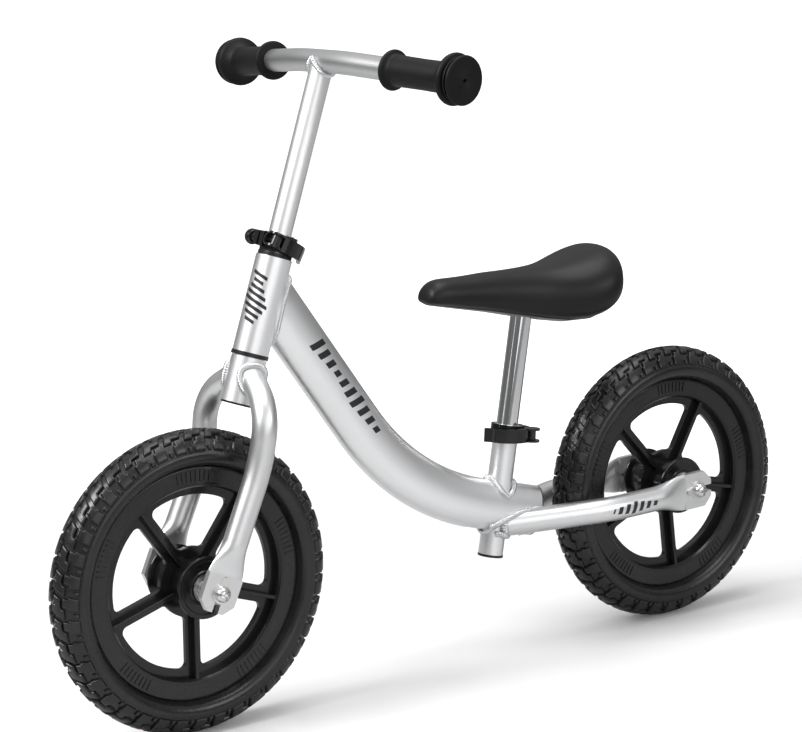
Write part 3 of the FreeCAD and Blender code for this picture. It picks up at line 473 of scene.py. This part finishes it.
def raise_faces(bm, faces, thickness, level):
    """Insets faces of the tread and lifts what is left to a level above the crown's centre line."""
    bmesh.ops.inset_region(bm, faces=faces, thickness=thickness, use_boundary=True, use_even_offset=True)
    for vert in {vert for face in faces for vert in face.verts}:
        radius = math.hypot(vert.co.x, vert.co.z)
        section = Vector((radius - CROWN_CENTRE, vert.co.y)).normalized() * level
        share = (CROWN_CENTRE + section.x) / radius
        vert.co = Vector((vert.co.x * share, section.y, vert.co.z * share))


def make_tyre(end):
    """Foam tyre with raised tread blocks and groups of short ribs in its bead band."""
    bm = turned(tyre_outline(), STEPS)
    blocks, ribs = sort_faces(bm)
    for vert in bm.verts:
        turn = tread_sweep(abs(crown_place(vert.co))) / TYRE_R
        vert.co = Matrix.Rotation(turn, 3, "Y") @ vert.co
    raise_faces(bm, blocks, 0.0004, CROWN_R - 0.0006)
    raise_faces(bm, blocks, 0.0006, CROWN_R)
    bmesh.ops.inset_region(bm, faces=ribs, thickness=0.0002, depth=0.0009, use_boundary=True,
                           use_even_offset=True)
    bmesh.ops.translate(bm, verts=bm.verts, vec=box_centre(end + "_tyre"))
    piece = make_piece(bm, end + "_foam_tyre", end + "_wheel_body", FINISHES["foam_tyre"])
    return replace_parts(piece, end + "_tyre")


for end_name in ("front", "rear"):
    make_tyre(end_name)

# ---------------------------------------------------------------- grips

BAR_LEVEL = 0.283
BAR_BEND = Vector((0, 0.036, 0))
BAR_RUN = Vector((-0.021, 0.150, -0.010))
GRIP_INNER_Y, GRIP_END_Y = 0.0994, 0.193
GRIP_R, THUMB_FLANGE_R, END_FLANGE_R = 0.0145, 0.019, 0.024


def grip_outline(length):
    """Half section of a grip: thumb flange, waisted body, two end flanges and a cap with a hole."""
    body = GRIP_R

    def near_end(drop, back):
        """Point at a drop below the widest flange and a distance back from the grip's end."""
        return END_FLANGE_R - drop, length - back

    points = [(0.0113, 0.0), (0.0172, 0.0)]
    points += arc_through((0.0172, 0.0), (THUMB_FLANGE_R, 0.0022), (0.0176, 0.0048), 8)
    points += arc_through((0.0176, 0.0048), (body + 0.0006, 0.0068), (body, 0.0104), 6)
    points += [(body, 0.0135), (body - 0.0003, length * 0.45), (body, length - 0.027)]
    points += [(body, length - 0.0225)]
    points += arc_through((body, length - 0.0225), near_end(0.0052, 0.0182), near_end(0.0012, 0.0158), 6)
    points += arc_through(near_end(0.0012, 0.0158), near_end(0, 0.0128), near_end(0.0009, 0.0102), 6)
    points += [near_end(0.0045, 0.0098), near_end(0.0045, 0.0078)]
    points += arc_through(near_end(0.002, 0.0078), near_end(0.0003, 0.0065), near_end(0.002, 0.0052), 6)
    points += [near_end(0.0045, 0.0050), near_end(0.0045, 0.0038)]
    points += arc_through(near_end(0.0026, 0.0038), near_end(0.0013, 0.0021), near_end(0.0034, 0), 8)
    vent = [(0.0023, length), (0.0018, length - 0.0005), (0.0018, length - 0.006)]
    return points + vent + [(0.0, length - 0.006)]


def make_grip(side, name):
    run = Vector((BAR_RUN.x, BAR_RUN.y * side, BAR_RUN.z)).normalized()
    bend = STEERING_FOOT + STEERING_AXIS * BAR_LEVEL + BAR_BEND * side
    reach = 1 / abs(run.y)
    start = bend + run * ((GRIP_INNER_Y - BAR_BEND.y) * reach)
    bm = turned(grip_outline((GRIP_END_Y - GRIP_INNER_Y) * reach), 72, closed=False)
    turn = Vector((0, 1, 0)).rotation_difference(run).to_matrix().to_4x4()
    bmesh.ops.transform(bm, matrix=Matrix.Translation(start) @ turn, verts=bm.verts)
    piece = make_piece(bm, name + "_rubber", "handlebar", FINISHES["black_rubber"], 60.0)
    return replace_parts(piece, name)


make_grip(1, "grip_left")
make_grip(-1, "grip_right")

# ---------------------------------------------------------------- saddle

# Along the saddle from nose to tail: place, underside, widest line, top, half width
SADDLE_RINGS = [
    (15.0, 376.5, 379.5, 384.5, 9.0), (11.5, 375.0, 380.5, 391.5, 14.0),
    (3.0, 372.8, 380.4, 397.6, 17.5), (-12.0, 369.5, 380.0, 398.6, 20.0),
    (-34.0, 364.8, 377.5, 398.3, 22.0), (-56.0, 360.0, 375.0, 398.8, 24.0),
    (-74.0, 355.5, 372.5, 398.7, 26.2), (-92.0, 351.0, 370.0, 398.5, 29.0),
    (-120.0, 344.5, 367.0, 399.0, 36.0), (-146.0, 339.5, 366.0, 401.5, 48.0),
    (-170.0, 339.0, 369.0, 407.0, 57.0), (-190.0, 344.0, 374.0, 412.0, 57.0),
    (-203.0, 354.0, 380.0, 412.8, 47.0), (-212.0, 364.0, 386.0, 406.5, 32.0),
    (-217.0, 373.0, 388.0, 397.5, 15.0),
]
SADDLE_POWER = 2.2


def saddle_ring(bm, x, low, widest, high, half):
    """One closed ring of the saddle's skin, in millimetres until the whole skin is scaled."""
    ring = bmesh.ops.create_circle(bm, segments=28, radius=1.0)["verts"]
    for vert in ring:
        c, s = vert.co.x, vert.co.y
        across = math.copysign(abs(c) ** (2 / SADDLE_POWER), c) * half
        reach = high - widest if s > 0 else widest - low
        rise = math.copysign(abs(s) ** (2 / SADDLE_POWER), s) * reach
        vert.co = Vector((x, across, widest + rise))
    return list({edge for vert in ring for edge in vert.link_edges})


def drawn_out(rings, rounds=8):
    """Rings set slightly outside their places, so that smoothing brings the skin back onto them."""
    guides = [list(ring) for ring in rings]
    for _ in range(rounds):
        previous = [list(guide) for guide in guides]
        for i in range(1, len(rings) - 1):
            for k, wanted in enumerate(rings[i]):
                reached = (previous[i - 1][k] + 4 * previous[i][k] + previous[i + 1][k]) / 6
                guides[i][k] = previous[i][k] + wanted - reached
    return guides


def make_saddle():
    """Moulded foam saddle in a smooth, tightly drawn cover."""
    bm = bmesh.new()
    rings = [saddle_ring(bm, *ring) for ring in drawn_out(SADDLE_RINGS)]
    for first, second in zip(rings, rings[1:]):
        bmesh.ops.bridge_loops(bm, edges=first + second)
    for end_ring, lean in ((rings[0], 1.0), (rings[-1], -1.0)):
        cap = bmesh.ops.contextual_create(bm, geom=end_ring)["faces"]
        bmesh.ops.inset_region(bm, faces=cap, thickness=3.0, use_boundary=True, use_even_offset=True)
        bmesh.ops.translate(bm, verts=cap[0].verts, vec=(lean, 0, 0))
        bmesh.ops.poke(bm, faces=cap)
    bmesh.ops.scale(bm, vec=(0.001, 0.001, 0.001), verts=bm.verts)
    piece = make_piece(bm, "saddle_cover", "saddle", FINISHES["black_leathercloth"], 180.0)
    smooth = piece.modifiers.new("smooth_skin", "SUBSURF")
    smooth.levels = 2
    smooth.render_levels = 2
    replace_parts(piece, "saddle_pad")
    return piece


make_saddle()

# ---------------------------------------------------------------- weld beads


SEAM_LIFT = 0.0019
SEAT_POST_R = 0.011
SEAT_RING_R = 0.0143
STAY_BEAD = 0.0034
BLADE_BEAD = 0.0034
STEM_BEAD = 0.0026


def tree_of(node):
    return BVHTree.FromObject(frame["nodes"][node], bpy.context.evaluated_depsgraph_get())


def seam_points(nodes, centre, along, wide_axis, wide, thin, reach, stop=None, count=720):
    """Where a tube's skin first meets one of the other nodes, lifted a little off that node.

    Where it meets none, the seam follows the tube's own end, a stop's distance along it."""
    targets = [tree_of(node) for node in nodes.split()]
    along = along.normalized()
    wide_axis = (wide_axis - along * wide_axis.dot(along)).normalized()
    thin_axis = along.cross(wide_axis)
    found = []
    for i in range(count):
        angle = math.tau * i / count
        start = centre + wide_axis * (wide * math.cos(angle)) + thin_axis * (thin * math.sin(angle))
        hits = [target.ray_cast(start, along, reach) for target in targets]
        hits = [hit for hit in hits if hit[0]]
        if hits:
            place, normal = min(hits, key=lambda hit: hit[3])[:2]
            found.append(place + normal * SEAM_LIFT)
        elif stop:
            found.append(start + along * stop)
    return found


def spaced(points, pitch):
    """Points of a seam thinned to even steps."""
    kept = []
    for point in points:
        if not kept or (point - kept[-1]).length >= pitch:
            kept.append(point)
    return kept


def clear_of_post(points, size):
    """Points moved out from the seat tube's axis, so that beads stay off the sliding post."""
    least = SEAT_POST_R + size + 0.0003
    for point in points:
        away = point - SEAT_FOOT
        away -= SEAT_AXIS * away.dot(SEAT_AXIS)
        if away.length < least:
            point += away.normalized() * (least - away.length)
    return points


def make_weld(name, body, points, size=0.0028):
    """Row of overlapping ripples laid along a seam."""
    bm = bmesh.new()
    kept = spaced(points, size * 0.6)
    for i, point in enumerate(kept):
        ahead = (kept[(i + 1) % len(kept)] - kept[i - 1]).normalized()
        turn = Vector((0, 0, 1)).rotation_difference(ahead).to_matrix().to_4x4()
        shape = Matrix.Diagonal((1.0, 1.0, 0.6, 1.0))
        place = Matrix.Translation(point) @ turn @ shape
        bmesh.ops.create_uvsphere(bm, u_segments=10, v_segments=7, radius=size, matrix=place)
    for face in bm.faces:
        face.smooth = True
    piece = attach(place_mesh(bm, name, WELD_METAL), body)
    return piece


WELD_METAL = make_finish("weld_bead", (0.68, 0.69, 0.7), (0.5, 0.5, 0.51), (0.24, 0.36), 0.00002,
                         (1800.0, 40.0, 90.0), metallic=1.0, tone=0.3)
SIDEWAYS = Vector((0, 1, 0))
UPWARDS = Vector((0, 0, 1))
MAIN_TOP = Vector((0.1978, 0, 0.4095))
MAIN_CORNER = Vector((0.0435, 0, 0.1883))
MAIN_UP = (MAIN_TOP - MAIN_CORNER).normalized()
SEAT_FOOT = Vector((-0.0603, 0, 0.1081))
STAY_ROOT = Vector((-0.072, 0.006, 0.138))
STAY_CORNER = Vector((-0.178, 0.0495, 0.1435))
BLADE_ROOT = Vector((0.224, 0.008, 0.337))
BLADE_SHOULDER = Vector((0.2355, 0.055, 0.309))

make_weld("weld_head_tube", "frame",
          seam_points("head_tube", MAIN_TOP - MAIN_UP * 0.07, MAIN_UP, SIDEWAYS, 0.013, 0.026, 0.09))
make_weld("weld_seat_tube_top", "frame",
          seam_points("main_tube", SEAT_FOOT + SEAT_AXIS * 0.1, -SEAT_AXIS, SIDEWAYS,
                      SEAT_RING_R, SEAT_RING_R, 0.08))
make_weld("weld_seat_tube_foot", "frame",
          seam_points("main_tube", SEAT_FOOT, SEAT_AXIS, SIDEWAYS, SEAT_RING_R, SEAT_RING_R, 0.05))
make_weld("weld_stem", "handlebar",
          seam_points("crossbar", STEERING_FOOT + STEERING_AXIS * 0.24, STEERING_AXIS, SIDEWAYS,
                      0.0111, 0.0111, 0.06), STEM_BEAD)
for side_name, side in (("left", 1), ("right", -1)):
    flip = Matrix.Diagonal((1, side, 1))
    stay_run = flip @ (STAY_ROOT - STAY_CORNER)
    stay_start = flip @ STAY_CORNER.lerp(STAY_ROOT, 0.45)
    mouth = []
    for ring in (0.0118, 0.0085, 0.0045):
        mouth += seam_points("main_tube seat_tube", stay_start, stay_run, UPWARDS, ring, ring, 0.08,
                             stop=stay_run.length * 0.55)
    make_weld("weld_stay_" + side_name, "frame", clear_of_post(mouth, STAY_BEAD), STAY_BEAD)
    blade_run = flip @ (BLADE_ROOT - BLADE_SHOULDER)
    blade_start = flip @ BLADE_SHOULDER.lerp(BLADE_ROOT, 0.4)
    make_weld("weld_blade_" + side_name, "fork",
              seam_points("fork_crown_tube", blade_start, blade_run, UPWARDS, 0.012, 0.012, 0.05),
              BLADE_BEAD)

# ---------------------------------------------------------------- floor, light and camera


def make_floor():
    """Pale floor, a little brighter to the camera than to the bike, that whitens with distance."""
    bm = bmesh.new()
    bmesh.ops.create_grid(bm, x_segments=1, y_segments=1, size=40.0)
    material = bpy.data.materials.new("studio_floor")
    material.use_nodes = True
    tree = material.node_tree
    principled = tree.nodes["Principled BSDF"]
    seen = add(tree, "ShaderNodeLightPath").outputs["Is Camera Ray"]
    shade = mixed(tree, seen, (0.5, 0.5, 0.5, 1), (0.84, 0.84, 0.84, 1))
    tree.links.new(shade, principled.inputs["Base Color"])
    place = add(tree, "ShaderNodeNewGeometry").outputs["Position"]
    away = vector_maths(tree, "LENGTH", place, output="Value")
    glow = maths(tree, "MULTIPLY", seen, ramp(tree, away, 0.5, 1.6, 0.03, 0.9))
    principled.inputs["Emission Color"].default_value = (1, 1, 1, 1)
    tree.links.new(glow, principled.inputs["Emission Strength"])
    principled.inputs["Roughness"].default_value = 0.28
    principled.inputs["Specular IOR Level"].default_value = 0.25
    place_mesh(bm, "studio_floor", material)


def make_lamp(name, place, aim, size, power):
    lamp = bpy.data.lights.new(name, "AREA")
    lamp.shape = "RECTANGLE"
    lamp.size, lamp.size_y = size
    lamp.energy = power
    shown = bpy.data.objects.new(name, lamp)
    bpy.context.scene.collection.objects.link(shown)
    shown.location = place
    shown.rotation_euler = (Vector(aim) - Vector(place)).to_track_quat("-Z", "Y").to_euler()


def make_world():
    """White studio for the camera; a soft bright-to-grey dome for light and reflections."""
    world = bpy.data.worlds.new("studio")
    bpy.context.scene.world = world
    world.use_nodes = True
    tree = world.node_tree
    background = tree.nodes["Background"]
    direction = add(tree, "ShaderNodeTexCoord").outputs["Generated"]
    height = add(tree, "ShaderNodeSeparateXYZ", {0: direction}).outputs["Z"]
    dome = ramp(tree, height, -0.05, 0.8, 0.14, 0.6)
    seen = add(tree, "ShaderNodeLightPath").outputs["Is Camera Ray"]
    shade = add(tree, "ShaderNodeMix", {0: seen, 2: dome, 3: 1.0}).outputs[0]
    tree.links.new(shade, background.inputs["Strength"])
    background.inputs["Color"].default_value = (1, 1, 1, 1)


def make_camera():
    right = Vector((-0.81384594, 0.58035426, -0.02904684))
    up = Vector((-0.13536856, -0.14074427, 0.98074788))
    back = Vector((0.56509303, 0.80210971, 0.19310587))
    data = bpy.data.cameras.new("studio_camera")
    data.lens = 113.22
    data.sensor_width = 36.0
    camera = bpy.data.objects.new("studio_camera", data)
    bpy.context.scene.collection.objects.link(camera)
    turn = Matrix((right, up, back)).transposed().to_4x4()
    camera.matrix_world = Matrix.Translation((1.4452, 1.9881, 0.7965)) @ turn
    bpy.context.scene.camera = camera


make_floor()
make_world()
make_lamp("key_softbox", (2.1, -0.2, 2.2), (0.05, 0, 0.3), (1.2, 1.2), 80.0)
make_lamp("fill_softbox", (-1.0, 2.6, 1.5), (0, 0, 0.3), (1.2, 1.2), 16.0)
make_lamp("top_softbox", (-0.2, 0.1, 2.8), (0, 0, 0.2), (2.2, 1.4), 38.0)
make_lamp("front_softbox", (0.7, 3.4, 1.3), (0, 0, 0.3), (3.0, 2.0), 22.0)
make_camera()
bpy.context.scene.view_settings.view_transform = "Standard"
